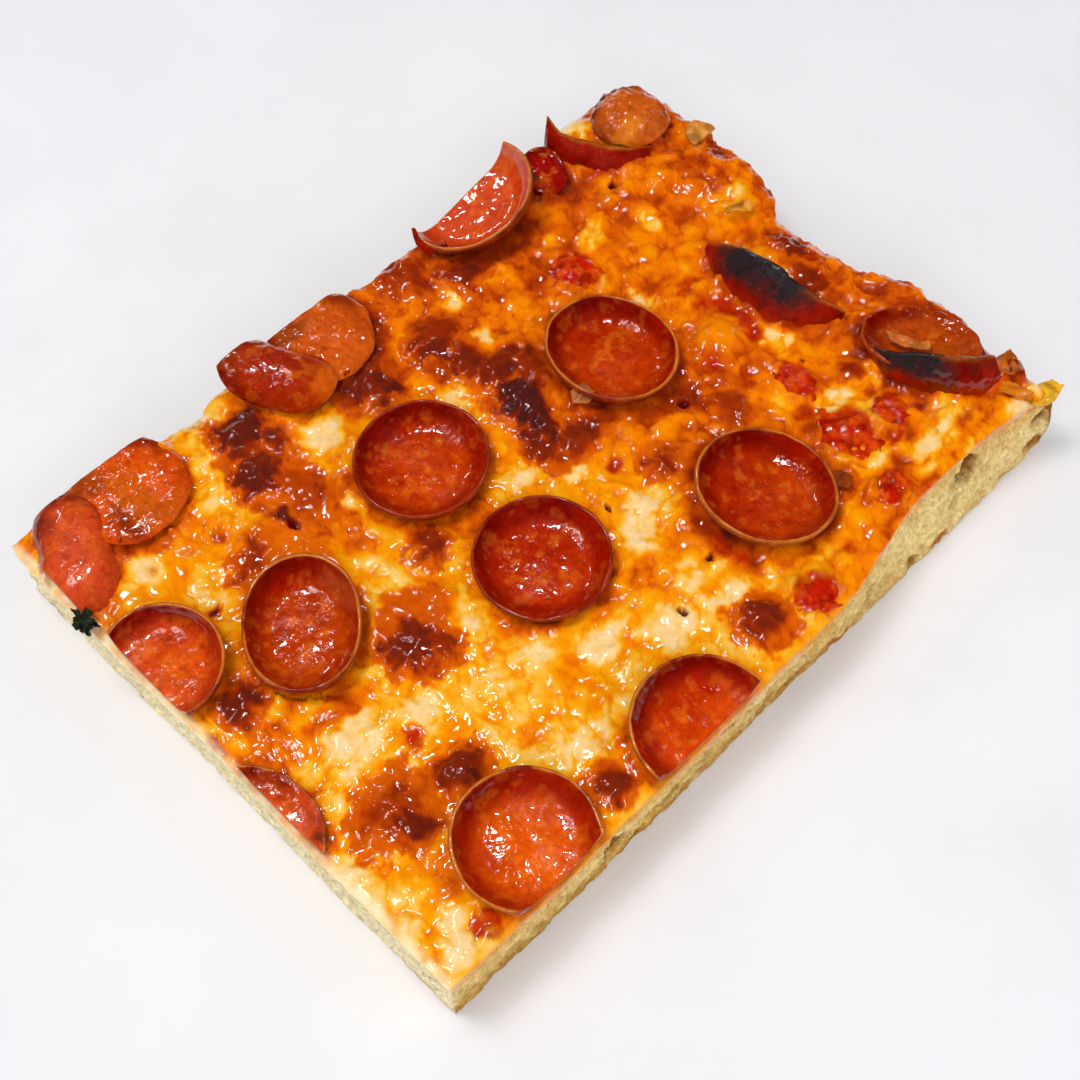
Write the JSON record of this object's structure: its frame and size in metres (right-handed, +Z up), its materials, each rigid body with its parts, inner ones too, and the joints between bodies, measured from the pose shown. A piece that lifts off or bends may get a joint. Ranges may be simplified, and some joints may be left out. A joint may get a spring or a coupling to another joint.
{
  "type": "pepperoni pizza slice",
  "caption": "Rectangular slice of thick pan-baked pizza: open-crumb bread, browned cheese, curled pepperoni cups, bits of tomato and a scorched leaf.",
  "frame": {"origin": "middle of the underside of the slice's box, on the surface it rests on", "axes": "+X along the long side, from the cut end to the crust that stood against the pan; +Y from the front cut to the back cut; +Z up"},
  "size_m": [0.1762, 0.1212, 0.0296],
  "materials": {
    "bread": "open crumb, dry, browned where it met the pan",
    "sauce": "wet",
    "cheese": "oily, browned in patches",
    "pepperoni": "oily, darker at the rim",
    "tomato": "wet",
    "herb": "scorched"
  },
  "bodies": {
    "root": {"bread": "bread", "tomato_sauce": "sauce", "cheese": "cheese", "pepperoni_01": "pepperoni", "pepperoni_02": "pepperoni", "pepperoni_03": "pepperoni", "pepperoni_04": "pepperoni", "pepperoni_05": "pepperoni", "pepperoni_06": "pepperoni", "pepperoni_07": "pepperoni", "pepperoni_08": "pepperoni", "pepperoni_09": "pepperoni", "pepperoni_10": "pepperoni", "pepperoni_11": "pepperoni", "pepperoni_12": "pepperoni", "pepperoni_13": "pepperoni", "pepperoni_14": "pepperoni", "pepperoni_15": "pepperoni", "pepperoni_16": "pepperoni", "pepperoni_17": "pepperoni", "pepperoni_18": "pepperoni", "pepperoni_19": "pepperoni", "tomato_01": "tomato", "tomato_02": "tomato", "tomato_03": "tomato", "tomato_04": "tomato", "tomato_05": "tomato", "tomato_06": "tomato", "herb_leaf": "herb"}
  },
  "joints": []
}
